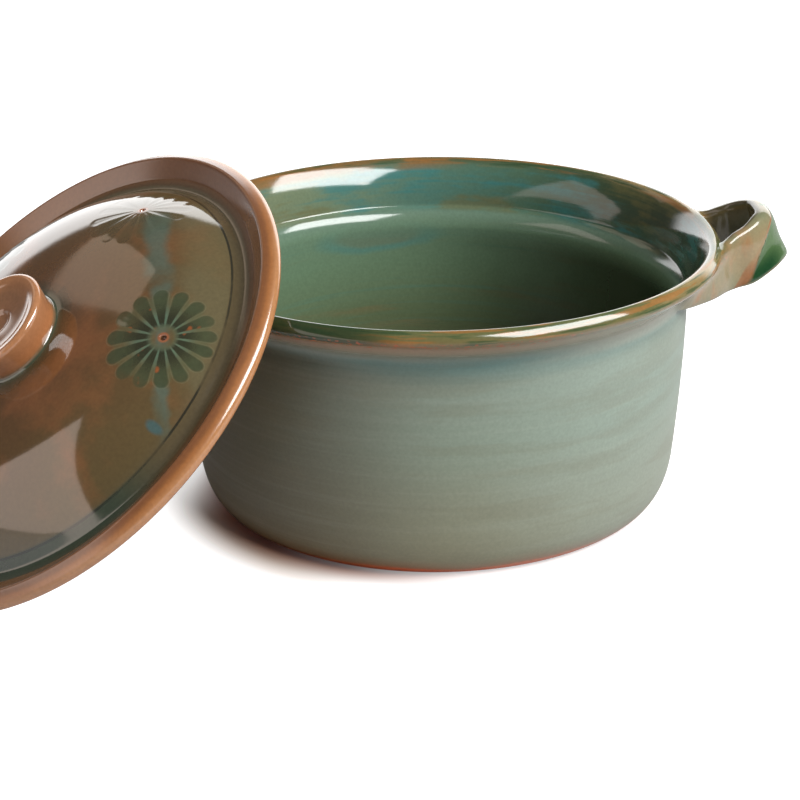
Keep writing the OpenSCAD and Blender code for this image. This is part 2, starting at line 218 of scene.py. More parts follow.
def lid_outline():
    """The lid from the middle of the knob, down the outside and back underneath, and its zones."""
    roll, crest = point(ROLL_R, 0), point(CREST_R, CREST_H - CREST_ROUND)
    rise = crest - roll
    crest_angle = math.degrees(math.atan2(rise[1], rise[0])) - math.degrees(
        math.acos((ROLL_D / 2 - CREST_ROUND) / np.linalg.norm(rise)))
    channel, dome_foot = point(CHANNEL_R, 0), point(DOME_R, -CHANNEL_SLOPE)
    lip_angle = tangent(channel, crest, CREST_ROUND, 1) + 90
    roll_under = roll + ROLL_D / 2 * turned(-105)
    keel = [roll_under, point(roll_under[0] - 7.5, 0.4 - CHANNEL_T), point(DOME_R - 1, -CHANNEL_T - 1.3),
            under_dome(DOME_R - 1)]
    knob_rim = point(KNOB_R - KNOB_ROUND, KNOB_TOP - KNOB_ROUND)
    knob_side = [point(KNOB_R - 0.25, knob_rim[1] - 1),
                 point(KNOB_FOOT_R + 1.2, lerp(DOME_RISE, KNOB_TOP, 0.5)),
                 point(KNOB_FOOT_R - 0.6, DOME_RISE + 3.5), point(KNOB_FOOT_R, DOME_RISE + 1)]
    dish = KNOB_TOP - KNOB_DISH
    knob_top = [point(0, dish - 2.2), point(THUMB_R * 0.6, dish - 1.9), point(THUMB_R - 0.8, dish - 0.5),
                point(THUMB_R + 2, dish), point(lerp(THUMB_R, knob_rim[0], 0.6), dish + KNOB_DISH * 0.32),
                point(knob_rim[0] - 2.2, dish + KNOB_DISH * 0.82)]
    last = DOME_R - 1
    zones = [
        ("thumb", soft(knob_top, 5), 1.5),
        ("knob rim", arc(knob_rim, KNOB_ROUND, 110, -15, 14), 1.5),
        ("knob side", curve(knob_side, 14)[1:], 1.5),
        ("knob foot", [point(KNOB_FOOT_R + 0.7, DOME_RISE + 0.2), on_dome(KNOB_FOOT_R + 2.2)], 1),
        ("dome", [on_dome(r) for r in np.linspace(KNOB_FOOT_R + 3.5, DOME_END, DOME_RINGS)], 2),
        ("dome foot", rounded(on_dome(last), dome_foot, channel, 2, 6), 1),
        ("channel", rounded(dome_foot, channel, crest + CREST_ROUND * turned(lip_angle), 1.5, 6), 1),
        ("lip", arc(crest, CREST_ROUND, lip_angle, crest_angle, 8), 1),
        ("roll", arc(roll, ROLL_D / 2, crest_angle, -105, 26), 1.2),
        ("keel", curve(keel, 22), 2),
        ("under", [under_dome(last * (1 - (i / 34) ** 1.4)) for i in range(1, 35)], 4),
    ]
    return join_zones(zones)


def soft(points, steps):
    """A smooth line through points, by Catmull and Rom's rule."""
    ends = [2 * points[0] - points[1], *points, 2 * points[-1] - points[-2]]
    out = []
    for a, b, c, d in zip(ends, ends[1:], ends[2:], ends[3:]):
        for i in range(steps):
            t = i / steps
            out.append(0.5 * (2 * b + (c - a) * t + (2 * a - 5 * b + 4 * c - d) * t * t
                              + (3 * b - a - 3 * c + d) * t ** 3))
    return out + [points[-1]]


def join_zones(zones):
    """One outline from its zones, the distance along it in metres, and a function that reads the zones:
    at("wall", 10) is 10 mm past where the wall begins."""
    line, starts = [], {}
    for name, points, step in zones:
        part = spaced(([line[-1]] if line else []) + list(points), step)
        starts[name] = len(line)
        line += part if not line else part[1:]
    line = np.array(line)
    run = np.concatenate([[0], np.cumsum(np.linalg.norm(np.diff(line, axis=0), axis=1))]) * MM
    return line, run, lambda zone, past=0.0: float(run[starts[zone]]) + past * MM


# Meshes

def mesh_object(name, points, faces):
    mesh = bpy.data.meshes.new(name)
    mesh.from_pydata([tuple(p) for p in np.asarray(points, float) * MM], [], [tuple(f) for f in faces])
    mesh.validate()
    return scene_object(name, mesh)


def scene_object(name, data):
    obj = bpy.data.objects.new(name, data)
    bpy.context.scene.collection.objects.link(obj)
    return obj


def thrown(name, line, angles):
    """A closed shape turned on the wheel: the outline starts and ends on the axis."""
    rings, n = line[1:-1], len(angles)
    points = [(0, 0, line[0][1])]
    points += [(r * math.cos(a), r * math.sin(a), z) for r, z in rings for a in angles]
    points.append((0, 0, line[-1][1]))
    last = len(points) - 1
    faces = []
    for k in range(n):
        j = (k + 1) % n
        faces.append((0, 1 + j, 1 + k))
        for i in range(len(rings) - 1):
            a, b = 1 + i * n, 1 + (i + 1) * n
            faces.append((a + k, a + j, b + j, b + k))
        a = 1 + (len(rings) - 1) * n
        faces.append((a + k, a + j, last))
    obj = mesh_object(name, points, faces)
    outward(obj.data)
    return obj


def outward(mesh):
    shape = bmesh.new()
    shape.from_mesh(mesh)
    bmesh.ops.remove_doubles(shape, verts=shape.verts, dist=1e-6)
    bmesh.ops.recalc_face_normals(shape, faces=shape.faces)
    shape.to_mesh(mesh)
    shape.free()


def positions(mesh):
    co = np.zeros(len(mesh.vertices) * 3, np.float32)
    mesh.vertices.foreach_get("co", co)
    return co.reshape(-1, 3).astype(float)


def set_positions(mesh, co):
    mesh.vertices.foreach_set("co", np.asarray(co, np.float32).ravel())
    mesh.update()


def store(mesh, name, values):
    layer = mesh.attributes.get(name) or mesh.attributes.new(name, "FLOAT", "POINT")
    layer.data.foreach_set("value", np.asarray(values, np.float32))


def nearest(targets, points):
    """For each point the nearest target's index and how far away it is."""
    tree = kdtree.KDTree(len(targets))
    for i, p in enumerate(targets):
        tree.insert(p, i)
    tree.balance()
    found = [tree.find(p)[1:] for p in points]
    return np.array([f[0] for f in found]), np.array([f[1] for f in found])


def follow(mesh, line, run, back=None):
    """Stores on each vertex how far along the outline it lies, and returns how far it is off the outline."""
    co = positions(mesh)
    if back is not None:
        co = np.array([back @ Vector(p) for p in co])
    flat = np.stack([np.hypot(co[:, 0], co[:, 1]), co[:, 2], np.zeros(len(co))], 1)
    fine = np.linspace(0, run[-1], int(run[-1] / (0.2 * MM)))
    samples = np.stack([np.interp(fine, run, line[:, 0]) * MM, np.interp(fine, run, line[:, 1]) * MM,
                        np.zeros(len(fine))], 1)
    index, away = nearest(samples, flat)
    store(mesh, "run", fine[index])
    return away


# The strap handle

STATIONS = np.array([0, 0.2, 0.35, 0.5, 0.62, 0.74, 0.87, 1])
END_TOP = (LIP_R - 1.2) * turned(HANDLE_SPREAD - 1.2)
END_LOW = (LIP_R - 11) * turned(HANDLE_SPREAD + 3.5)
JOINT_TOP = (LIP_R + 1.2) * turned(HANDLE_SPREAD * 0.55)
JOINT_LOW = (LIP_R - 1.2) * turned(HANDLE_SPREAD * 0.64)
TOP_EDGE = [
    [LIP_R + HANDLE_OUT * k for k in (0.665, 0.645, 0.55, 0.41, 0.236, 0.085)] + [JOINT_TOP[0], END_TOP[0]],
    [HANDLE_W / 2 * k for k in (0, 0.39, 0.615, 0.835, 0.954, 1.12)] + [JOINT_TOP[1], END_TOP[1]],
    [HORN_UP, HORN_UP * 0.97, HORN_UP * 0.83, HORN_UP * 0.54, 1.7, -0.9, -2.4, -4.5]]
LOW_EDGE = [
    [LIP_R + HANDLE_OUT * k for k in (1, 0.85, 0.695, 0.46, 0.25, 0.07)] + [JOINT_LOW[0], END_LOW[0]],
    [HANDLE_W / 2 * k for k in (0, 0.505, 0.735, 0.95, 1, 1.19)] + [JOINT_LOW[1], END_LOW[1]],
    [-TIP_DROP, -lerp(TIP_DROP, LEG_DROP, 0.12), -lerp(TIP_DROP, LEG_DROP, 0.42),
     -lerp(TIP_DROP, LEG_DROP, 0.82), -LEG_DROP, -0.5 - LEG_DROP, 0.5 - LEG_DROP, 3.2 - LEG_DROP]]
THICKNESS = [STRAP_T, STRAP_T, lerp(STRAP_T, LEG_T, 0.5), LEG_T, LEG_T, LEG_T, LEG_T - 1, 4.5]


def through(table, s, odd=False):
    """A smooth curve through a table, read at s. An odd table changes sign at the tip."""
    y, t = np.array(table, float), STATIONS
    slopes = np.array([(y[min(i + 1, 7)] - y[max(i - 1, 0)]) / (t[min(i + 1, 7)] - t[max(i - 1, 0)])
                       if i or odd else 0 for i in range(8)])
    i = np.clip(np.searchsorted(t, s, "right") - 1, 0, 6)
    h = t[i + 1] - t[i]
    u = (s - t[i]) / h
    return (y[i] * (1 + 2 * u) * (1 - u) ** 2 + slopes[i] * h * u * (1 - u) ** 2
            + y[i + 1] * u * u * (3 - 2 * u) - slopes[i + 1] * h * u * u * (1 - u))


def strap_middle(s, w):
    """A point of the strap's middle surface: s is 0 at the tip and 1 at an end, w is 0 above and 1 below."""
    top = [through(TOP_EDGE[0], s), through(TOP_EDGE[1], s, True), POT_H + through(TOP_EDGE[2], s)]
    low = [through(LOW_EDGE[0], s), through(LOW_EDGE[1], s, True), POT_H + through(LOW_EDGE[2], s)]
    return np.stack([lerp(a, b, w) for a, b in zip(top, low)], -1)


def thumb_edge(w):
    return THUMB_SPREAD * np.minimum(1, w / THUMB_END) ** 0.5


def thumb(s, w):
    u = s / np.maximum(0.05, thumb_edge(w))
    fade = np.sin(np.pi * np.minimum(1, w / 0.93) ** 1.7)
    return np.where(u < 1, THUMB_DEPTH * (0.35 + 0.65 * u * u) * (1 - np.minimum(u, 1) ** 6) * fade, 0)


def squarer(x, power):
    """A power below 1 that keeps the sign, and so makes a round section squarer."""
    return np.sign(x) * np.abs(x) ** power


def strap(name, turn):
    """A pulled strap with its outer face pressed in by the thumb, and its points. With them come each
    point's s, here -1 to 1 from end to end, its w, and its side: 1 on the outer face, -1 on the inner."""
    sections, ring = 150, 52
    s = np.repeat(np.linspace(-1, 1, sections + 1), ring)
    a = np.tile(2 * np.pi * np.arange(ring) / ring, sections + 1)
    t = np.abs(s)
    inner_top = (np.sin(a) > 0) & (np.cos(a) < 0)
    w = 0.5 - 0.5 * squarer(np.sin(a), np.where(inner_top, 0.4, 0.75))
    side = squarer(np.cos(a), np.where(inner_top, 0.4, 0.6))
    middle = strap_middle(t, w)
    ahead = strap_middle(np.minimum(1, t + 0.01), w) - strap_middle(np.maximum(0, t - 0.01), w)
    out = np.stack([ahead[:, 1], -ahead[:, 0]], 1)
    length = np.maximum(1e-9, np.linalg.norm(out, axis=1))
    out = np.where((t < 0.006)[:, None], [1.0, 0.0], out / length[:, None])
    thick = through(THICKNESS, t) * lerp(lerp(1.12, 0.86, np.minimum(1, t / 0.6)), 1, w)
    xy = middle[:, :2] + out * (side * thick / 2 - np.maximum(0, side) * thumb(t, w))[:, None]
    y = np.where(s < 0, xy[:, 1], -xy[:, 1])
    c, n = turned(turn)
    points = np.stack([xy[:, 0] * c - y * n, xy[:, 0] * n + y * c, middle[:, 2]], 1)
    faces = [(i * ring + k, (i + 1) * ring + k, (i + 1) * ring + (k + 1) % ring, i * ring + (k + 1) % ring)
             for i in range(sections) for k in range(ring)]
    faces += [tuple(range(ring)), tuple(sections * ring + ring - 1 - k for k in range(ring))]
    obj = mesh_object(name, points, faces)
    outward(obj.data)
    return obj, points * MM, s, w, side


def joined(body, *others):
    """One closed skin round several shapes that reach into each other."""
    for other in others:
        cut = body.modifiers.new("join", "BOOLEAN")
        cut.operation, cut.solver, cut.object = "UNION", "EXACT", other
    mesh = bpy.data.meshes.new_from_object(body.evaluated_get(bpy.context.evaluated_depsgraph_get()))
    for obj in (body, *others):
        bpy.data.objects.remove(obj)
    return mesh


def blend_seams(mesh, weights, rounds):
    """Works the clay smooth where the handles are luted on: vertices go towards their neighbours."""
    edges = np.zeros(len(mesh.edges) * 2, np.int32)
    mesh.edges.foreach_get("vertices", edges)
    edges = edges.reshape(-1, 2)
    edges = edges[(weights[edges] > 0).any(1)]
    co = positions(mesh)
    count = np.maximum(1, np.bincount(edges.ravel(), minlength=len(co)))[:, None]
    for _ in range(rounds):
        total = np.zeros_like(co)
        np.add.at(total, edges[:, 0], co[edges[:, 1]])
        np.add.at(total, edges[:, 1], co[edges[:, 0]])
        co += (total / count - co) * weights[:, None] * 0.5
    set_positions(mesh, co)


def smooth_step(low, high, x):
    t = np.clip((x - low) / (high - low), 0, 1)
    return t * t * (3 - 2 * t)


def pot_angles():
    """The angles that the body is turned at, twice as close together near the handles."""
    angles, a = [], 0.0
    while a < 359.99:
        from_handle = abs((a - HANDLE_TURN + 90) % 180 - 90)
        angles.append(math.radians(a))
        a += 0.75 if from_handle < 36 else 1.5
    return angles


def make_pot():
    line, run, at = pot_outline()
    body = thrown("body", line, pot_angles())
    right, right_points, s, w, side = strap("right strap", HANDLE_TURN)
    left, left_points, *_ = strap("left strap", HANDLE_TURN + 180)
    mesh = joined(body, right, left)
    mesh.name = "pot"
    away = follow(mesh, line, run)
    strap_points = np.concatenate([right_points, left_points])
    co = positions(mesh)
    _, reach = nearest(strap_points, co)
    seam = co[(away < 0.6 * MM) & (reach < 1.6 * MM)]
    _, gap = nearest(seam, co)
    blend_seams(mesh, 1 - smooth_step(MM, SEAM_BLEND * MM, gap), SEAM_ROUNDS)
    away = follow(mesh, line, run)
    index, reach = nearest(strap_points, positions(mesh))
    store(mesh, "strap", smooth_step(0.4 * MM, 5 * MM, away) * (reach < 4 * MM))
    for name, values in (("sweep", s), ("drop", w), ("face", side)):
        store(mesh, name, np.tile(values, 2)[index])
    return mesh, at


# Trees of nodes

class Wire:
    """An output socket. Python's operators on it add Math nodes to its tree."""

    def __init__(self, graph, socket):
        self.graph, self.socket = graph, socket

    def math(self, operation, *others):
        return self.graph.math(operation, self, *others)

    def __add__(self, other):
        return self.math("ADD", other)

    def __sub__(self, other):
        return self.math("SUBTRACT", other)

    def __rsub__(self, other):
        return self.graph.math("SUBTRACT", other, self)

    def __mul__(self, other):
        return self.math("MULTIPLY", other)

    def __truediv__(self, other):
        return self.math("DIVIDE", other)

    def __rtruediv__(self, other):
        return self.graph.math("DIVIDE", other, self)

    def __pow__(self, other):
        return self.math("POWER", other)

    def __abs__(self):
        return self.math("ABSOLUTE")

    __radd__, __rmul__ = __add__, __mul__


class Graph:
    """A tree of nodes in the making."""

    def __init__(self, tree):
        self.tree = tree
        tree.nodes.clear()

    def add(self, kind, settings=None, values=None, out=0):
        """Adds a node: its settings first, then the values or links of its sockets. Returns one output."""
        node = self.tree.nodes.new(kind)
        for name, value in (settings or {}).items():
            if name == "stops":
                elements = node.color_ramp.elements
                for at, colour in value:
                    stop = elements[0] if at == 0 else elements[-1] if at == 1 else elements.new(at)
                    stop.color = (*colour, 1)
            else:
                setattr(node, name, value)
        for key, value in (values or {}).items():
            socket = node.inputs[key]
            if isinstance(value, Wire):
                self.tree.links.new(value.socket, socket)
            elif isinstance(socket.default_value, (bool, int, float, str)):
                socket.default_value = value
            else:
                socket.default_value = (*value, 1)[:len(socket.default_value)]
        return Wire(self, node.outputs[out]) if node.outputs else node

    def math(self, operation, *values):
        return self.add("ShaderNodeMath", {"operation": operation}, dict(enumerate(values)))

    def between(self, low, high, x):
        """0 below low and 1 above high, with a smooth change. It falls instead where low is above high."""
        start, end = (1.0, 0.0) if low > high else (0.0, 1.0)
        return self.add("ShaderNodeMapRange", {"interpolation_type": "SMOOTHSTEP"}, {
            "Value": x, "From Min": min(low, high), "From Max": max(low, high),
            "To Min": start, "To Max": end})

    def band(self, start, end, soft_edge, x):
        """1 from start to end, with a soft edge outside it."""
        return self.between(start - soft_edge, start, x) * self.between(end + soft_edge, end, x)

    def mix(self, amount, a, b, how="MIX"):
        """A mix of two colours: a Mix node keeps these at its inputs 6 and 7, and its result at output 2."""
        settings = {"data_type": "RGBA", "blend_type": how}
        return self.add("ShaderNodeMix", settings, {0: amount, 6: a, 7: b}, 2)

    def coats(self, colour, layers):
        """Lays coats over a colour, each over the last. A coat is its amount and its colour."""
        for amount, coat in layers:
            colour = self.mix(amount, colour, coat)
        return colour

    def noise(self, vector, scale, detail=3.0, roughness=0.5, distortion=0.0):
        return self.add("ShaderNodeTexNoise", None, {
            "Vector": vector, "Scale": scale, "Detail": detail,
            "Roughness": roughness, "Distortion": distortion})

    def stretched(self, vector, x, y, z):
        return self.add("ShaderNodeVectorMath", {"operation": "MULTIPLY"}, {0: vector, 1: (x, y, z)})

    def ramp(self, x, stops):
        """A colour that changes along x. Each stop is a place and a colour."""
        low, high = stops[0][0], stops[-1][0]
        t = self.add("ShaderNodeMapRange", None, {"Value": x, "From Min": low, "From Max": high})
        shares = [(min(1, max(0, (at - low) / (high - low))), colour) for at, colour in stops]
        return self.add("ShaderNodeValToRGB", {"stops": shares}, {"Fac": t})

    def levels(self, x, stops):
        """A grey that changes along x. Each stop is a place and how light it is."""
        return self.ramp(x, [(at, (level,) * 3) for at, level in stops])

    def speckled(self, colour, grain, low, high):
        """The colour, darker and lighter by a fine grain: low and high are what it is multiplied by."""
        return self.mix(1.0, colour, self.levels(grain, [(0.3, low), (0.7, high)]), "MULTIPLY")

    def streaks(self, x, y, run, along, across, detail=3.0):
        """Noise drawn out round the axis, as a brush or a throwing hand leaves it."""
        vector = self.add("ShaderNodeCombineXYZ", None, {0: x * along, 1: y * along, 2: run * across})
        return self.noise(vector, 1.0, detail, 0.6)

    def parts(self, vector):
        node = self.add("ShaderNodeSeparateXYZ", None, {0: vector}).socket.node
        return [Wire(self, s) for s in node.outputs]

    def attribute(self, name):
        return self.add("ShaderNodeAttribute", {"attribute_name": name}, None, "Fac")


def from_middle(x, y):
    return (x * x + y * y) ** 0.5


def off_oval(x, y, middle, radii):
    """How far a point lies from an oval's middle, 1 on the oval itself. Its sizes are in millimetres."""
    across, along = ((v - m * MM) / (r * MM) for v, m, r in zip((x, y), middle, radii))
    return (across ** 2.0 + along ** 2.0) ** 0.5


def paint(r, g, b):
    """A colour as a screen shows it, 0 to 255, in linear light."""
    return tuple((c / 255 / 12.92) if c <= 10 else ((c / 255 + 0.055) / 1.055) ** 2.4 for c in (r, g, b))


# The lid

def rotation(degrees, axis):
    return Matrix.Rotation(math.radians(degrees), 4, axis)


LID_TILT = rotation(LEAN_TURN, "Z") @ rotation(LEAN_ANGLE, "Y")


def lid_place():
    """The lid's middle, from the box of the part's own lid: its roll is what reaches lowest and furthest."""
    axis = LID_TILT.to_3x3() @ Vector((0, 0, 1))
    reach = [(ROLL_R * math.sqrt(1 - c * c) + ROLL_D / 2) * MM for c in axis]
    return Vector((lid_low.x + reach[0], lid_low.y + reach[1], reach[2]))


LID_PLACE = Matrix.Translation(lid_place()) @ LID_TILT


def in_rosette(x, y):
    """Where a point of the lid lies in its nearest rosette, in metres: across and along the middle line of
    the nearest petal, how far from the rosette's middle, and how far out that petal's round end lies."""
    turn, step = math.radians(ROSETTE_TURN), math.radians(ROSETTE_STEP)
    from_first = (y.math("ARCTAN2", x) - turn + step / 2).math("WRAP", math.tau, 0.0)
    number = (from_first / step).math("FLOOR").math("MINIMUM", ROSETTES - 1.0)
    away = from_first - number * step - step / 2
    r = from_middle(x, y)
    squeeze = math.cos(math.atan(dome_slope(ROSETTE_R)))
    u = (r * away.math("COSINE") - ROSETTE_R * MM) / squeeze
    v = r * away.math("SINE")
    middle = from_middle(u, v)
    angle = v.math("ARCTAN2", u) - math.radians(PETAL_TURN)
    fold = angle.math("WRAP", math.pi / PETALS, -math.pi / PETALS)
    petal = angle - fold + math.radians(PETAL_TURN)
    reach = (petal.math("COSINE") * -PETAL_SHIFT + PETAL_OUT) * MM
    return middle * fold.math("SINE"), middle * fold.math("COSINE"), middle, reach


def in_petal(graph, across, along, reach):
    """How far a point lies from a petal's middle line, 1 at its edge, and its share of the way out."""
    start, tip = PETAL_START * MM, PETAL_TIP * MM
    t = graph.add("ShaderNodeMapRange", None, {"Value": along, "From Min": start, "From Max": reach})
    from_line = along - start - t * (reach - start)
    width = t * (reach * (PETAL_W / PETAL_OUT / 2) - tip) + tip
    return from_middle(from_line, across) / width, t


def vent_pins(graph):
    """A pin through the dome in the middle of each rosette, where its vent hole is bored."""
    pin = graph.add("GeometryNodeMeshCylinder", None, {
        "Vertices": 28, "Radius": VENT_D / 2 * MM, "Depth": LID_T * 3 * MM})
    pin = graph.add("GeometryNodeTransform", None, {
        "Geometry": pin, "Translation": (ROSETTE_R * MM, 0, dome_z(ROSETTE_R) * MM),
        "Rotation": (0, -math.atan(dome_slope(ROSETTE_R)), 0)})
    index = graph.add("GeometryNodeInputIndex")
    spin = graph.add("ShaderNodeCombineXYZ", None, {
        2: index * math.radians(ROSETTE_STEP) + math.radians(ROSETTE_TURN)})
    pins = graph.add("GeometryNodeInstanceOnPoints", None, {
        "Points": graph.add("GeometryNodePoints", None, {"Count": ROSETTES}), "Instance": pin,
        "Rotation": graph.add("FunctionNodeEulerToRotation", None, {0: spin})})
    return graph.add("GeometryNodeRealizeInstances", None, {"Geometry": pins})


def press_tree():
    """Geometry nodes that press the petals of every rosette into the dome and bore the vent holes."""
    tree = bpy.data.node_groups.new("pressed rosettes", "GeometryNodeTree")
    for way in ("INPUT", "OUTPUT"):
        tree.interface.new_socket("Geometry", in_out=way, socket_type="NodeSocketGeometry")
    graph = Graph(tree)
    blank = graph.add("NodeGroupInput")
    x, y, _ = graph.parts(graph.add("GeometryNodeInputPosition"))
    across, along, _, reach = in_rosette(x, y)
    away, outwards = in_petal(graph, across, along, reach)
    normal = graph.add("GeometryNodeInputNormal")
    facing = graph.parts(normal)[2]
    depth = (graph.between(1.05, 0.3, away) * (outwards * 0.6 + 0.4) * (PETAL_DEPTH * MM)
             * facing.math("GREATER_THAN", FACING_UP))
    down = graph.add("ShaderNodeVectorMath", {"operation": "SCALE"}, {0: normal, "Scale": depth * -1})
    pressed = graph.add("GeometryNodeSetPosition", None, {"Geometry": blank, "Offset": down})
    bored = graph.add("GeometryNodeMeshBoolean", {"operation": "DIFFERENCE", "solver": "EXACT"}, {
        "Mesh 1": pressed, "Mesh 2": vent_pins(graph)})
    graph.add("NodeGroupOutput", None, {"Geometry": bored})
    return tree


def refine_rosettes(mesh):
    """Divides the dome more finely under the rosettes and puts its vertices back on the dome's curve."""
    shape = bmesh.new()
    shape.from_mesh(mesh)
    middles = [Vector(ROSETTE_R * turned(ROSETTE_TURN + i * ROSETTE_STEP)) for i in range(ROSETTES)]
    for reach in REFINED:
        near = [f for f in shape.faces if f.normal.z > FACING_UP
                and any((f.calc_center_median().xy / MM - m).length < reach for m in middles)]
        edges = list(dict.fromkeys(e for f in near for e in f.edges))
        bmesh.ops.subdivide_edges(shape, edges=edges, cuts=1, use_grid_fill=True)
    for v in shape.verts:
        r = v.co.xy.length / MM
        if (v.normal.z > FACING_UP and KNOB_FOOT_R + 4 < r < DOME_END - 0.1
                and abs(v.co.z / MM - dome_z(r)) < 0.4):
            v.co.z = dome_z(r) * MM
    shape.to_mesh(mesh)
    shape.free()


def make_lid():
    line, run, at = lid_outline()
    blank = thrown("lid blank", line, [math.tau * i / LID_ANGLES for i in range(LID_ANGLES)])
    refine_rosettes(blank.data)
    blank.modifiers.new("press", "NODES").node_group = press_tree()
    mesh = bpy.data.meshes.new_from_object(blank.evaluated_get(bpy.context.evaluated_depsgraph_get()))
    mesh.name = "lid"
    bpy.data.objects.remove(blank)
    mesh.transform(LID_PLACE)
    follow(mesh, line, run, LID_PLACE.inverted())
    return mesh, at


# The glazes

def new_material(name):
    material = bpy.data.materials.new(name)
    material.use_nodes = True
    return material, Graph(material.node_tree)


def finish_glaze(graph, colour, roughness, height, index):
    """The glaze's shader: the height is in millimetres, the index is how strongly it reflects."""
    bump = graph.add("ShaderNodeBump", None, {"Strength": 1.0, "Distance": MM, "Height": height})
    shader = graph.add("ShaderNodeBsdfPrincipled", None, {
        "Base Color": colour, "Roughness": roughness, "IOR": index, "Normal": bump})
    graph.add("ShaderNodeOutputMaterial", None, {"Surface": shader})


def pot_colours(graph, at, on):
    """The colours that change along the outline, from the bare foot to the middle of the floor."""
    bead_run, funnel_run = at("funnel") - at("bead"), at("seat") - at("funnel")
    return graph.ramp(on.run + (on.wide_brush - 0.5) * 0.008 + (on.cloud - 0.5) * 0.005, [
        (0, paint(176, 108, 72)), (at("heel", 7.5), paint(206, 96, 50)),
        (at("heel", 9.5), paint(134, 104, 76)), (at("heel", 16), paint(124, 122, 98)),
        (at("wall", 10), paint(126, 130, 110)), (at("wall", 40), paint(124, 138, 122)),
        (at("neck", -7), paint(124, 138, 124)), (at("neck", 2), paint(84, 122, 118)),
        (at("flare", 1), paint(140, 130, 112)), (at("bead", -5), paint(160, 132, 110)),
        (at("bead", -1), paint(132, 102, 70)), (at("bead", 3), paint(98, 96, 60)),
        (at("bead") + bead_run * 0.6, paint(88, 94, 58)),
        (at("bead") + bead_run * 0.85, paint(66, 80, 54)), (at("funnel", 3), paint(86, 98, 70)),
        (at("funnel") + funnel_run * 0.5, paint(88, 108, 88)), (at("seat", -1), paint(80, 104, 88)),
        (at("seat", 5), paint(100, 124, 106)), (at("seat", 12), paint(104, 130, 106)),
        (at("inside", 12), paint(98, 122, 96)), (at("bowl", -20), paint(86, 98, 70)),
        (at("bowl", 20), paint(82, 80, 56)), (at("floor", 70), paint(76, 70, 48))])


def mouth_coats(graph, at, on):
    """Coats on the funnel of the mouth, the inside and the lip's inner edge. The right of the funnel and of
    the inside is darkened as painted shade.
    """
    x, run, brush, cloud = on.x, on.run, on.brush, on.cloud
    funnel = graph.band(at("funnel", 2), at("seat", 2), 0.004, run)
    # The funnel's glaze round the mouth, light olive on the left and teal in the middle; its darkening to
    # near black on the right is painted shade.
    round_mouth = graph.ramp(x + (cloud - 0.5) * 0.03, [
        (-0.12, paint(126, 124, 90)), (-0.05, paint(108, 126, 100)), (0.0, paint(76, 116, 104)),
        (0.05, paint(70, 104, 86)), (0.08, paint(52, 72, 52)), (0.12, paint(46, 50, 30))])
    daub = graph.streaks(x, on.y, run, 16, 45, 4)
    teal_daub = graph.between(0.5, 0.64, daub + (brush - 0.5) * 0.35)
    olive_daub = graph.between(0.48, 0.36, daub + (brush - 0.5) * 0.3)
    inside = graph.between(at("seat", 8), at("inside", 6), run)
    # Painted shade: the right of the inside, coated near black.
    dark_green_side = graph.between(-0.02, 0.1, x + (cloud - 0.5) * 0.05)
    lip_edge = graph.band(at("bead") + (at("funnel") - at("bead")) * 0.8, at("funnel", 2), 0.003, run)
    spot = off_oval(x, on.z, (-27, 90.5), (23, 6.5)) + (cloud - 0.5) * 1.6
    behind = graph.between(0.0, 0.05, on.y) * inside
    return [
        (funnel * 0.75, round_mouth),
        (funnel * teal_daub * 0.75, paint(56, 116, 114)),
        (funnel * olive_daub * 0.6, paint(104, 100, 62)),
        (inside * graph.between(0.5, 0.7, brush) * 0.3, paint(70, 116, 104)),
        (inside * graph.between(0.54, 0.7, on.wide_brush) * 0.4, paint(112, 96, 66)),
        # Painted shade on the right of the inside.
        (inside * dark_green_side * 0.95, paint(22, 38, 22)),
        (lip_edge * graph.between(0.44, 0.6, cloud) * graph.between(0.03, -0.03, x) * 0.8,
         paint(132, 92, 50)),
        (graph.between(1.6, 1.1, spot) * behind * 0.5, paint(70, 124, 120)),
        (graph.between(1.1, 0.7, spot) * behind * 0.45, paint(112, 110, 78))]


def lip_coats(graph, at, on):
    """Coats on the lip's bead and the specks of bare clay below it, and painted light that makes the
    underside of the flare pale on the right.
    """
    x, run, cloud = on.x, on.run, on.cloud
    bead = graph.band(at("bead", 1), at("funnel", -1), 0.003, run)
    front = graph.between(0.0, -0.05, on.y)
    left = graph.between(-0.014, -0.042, x + (cloud - 0.5) * 0.03)
    stroke = graph.streaks(x, on.y, run, 30, 420, 3)
    specks = graph.noise(graph.stretched(on.place, 1, 1, 2), 420, 2)
    under = graph.band(at("bead", -3), at("bead", 1), 0.001, run + (cloud - 0.5) * 0.004)
    # Painted light: the flare's underside made pale towards the right.
    painted_light_under_flare = graph.band(at("neck", 1), at("bead", -1), 0.004, run) * graph.between(0.02, 0.1, x)
    return [
        (bead * graph.between(0.46, 0.6, on.wide_brush) * graph.between(0.04, 0.11, x) * 0.8,
         paint(150, 128, 88)),
        (bead * graph.between(0.52, 0.62, stroke) * 0.7, paint(146, 98, 50)),
        (bead * graph.between(0.48, 0.38, stroke) * 0.75, paint(50, 74, 46)),
        (bead * front * left * 0.85, paint(36, 54, 32)),
        (under * graph.between(0.54, 0.66, specks) * 0.7, paint(178, 84, 48)),
        (painted_light_under_flare * 0.8, paint(166, 160, 144))]


def wall_coats(graph, at, on):
    """Coats on the outer wall: painted light that makes it paler to the right, painted shade that makes it
    darker and browner to the left, and the brush's streaks.
    """
    wall = graph.band(at("heel", 8), at("neck"), 0.006, on.run)
    # Painted light on the right of the wall and painted shade on its left.
    right = graph.between(0.0, 0.09, on.x + (on.cloud - 0.5) * 0.04)
    left = graph.between(0.01, -0.08, on.x + (on.cloud - 0.5) * 0.02)
    return [
        # The first coat is painted light, the second painted shade.
        (wall * right * 0.4, paint(150, 164, 156)),
        (wall * left * 0.8, paint(86, 80, 58)),
        (wall * graph.between(0.46, 0.7, on.brush) * 0.11, paint(156, 164, 150)),
        (wall * graph.between(0.5, 0.66, on.wide_brush + (on.cloud - 0.5) * 0.4) * 0.22,
         paint(110, 104, 80))]


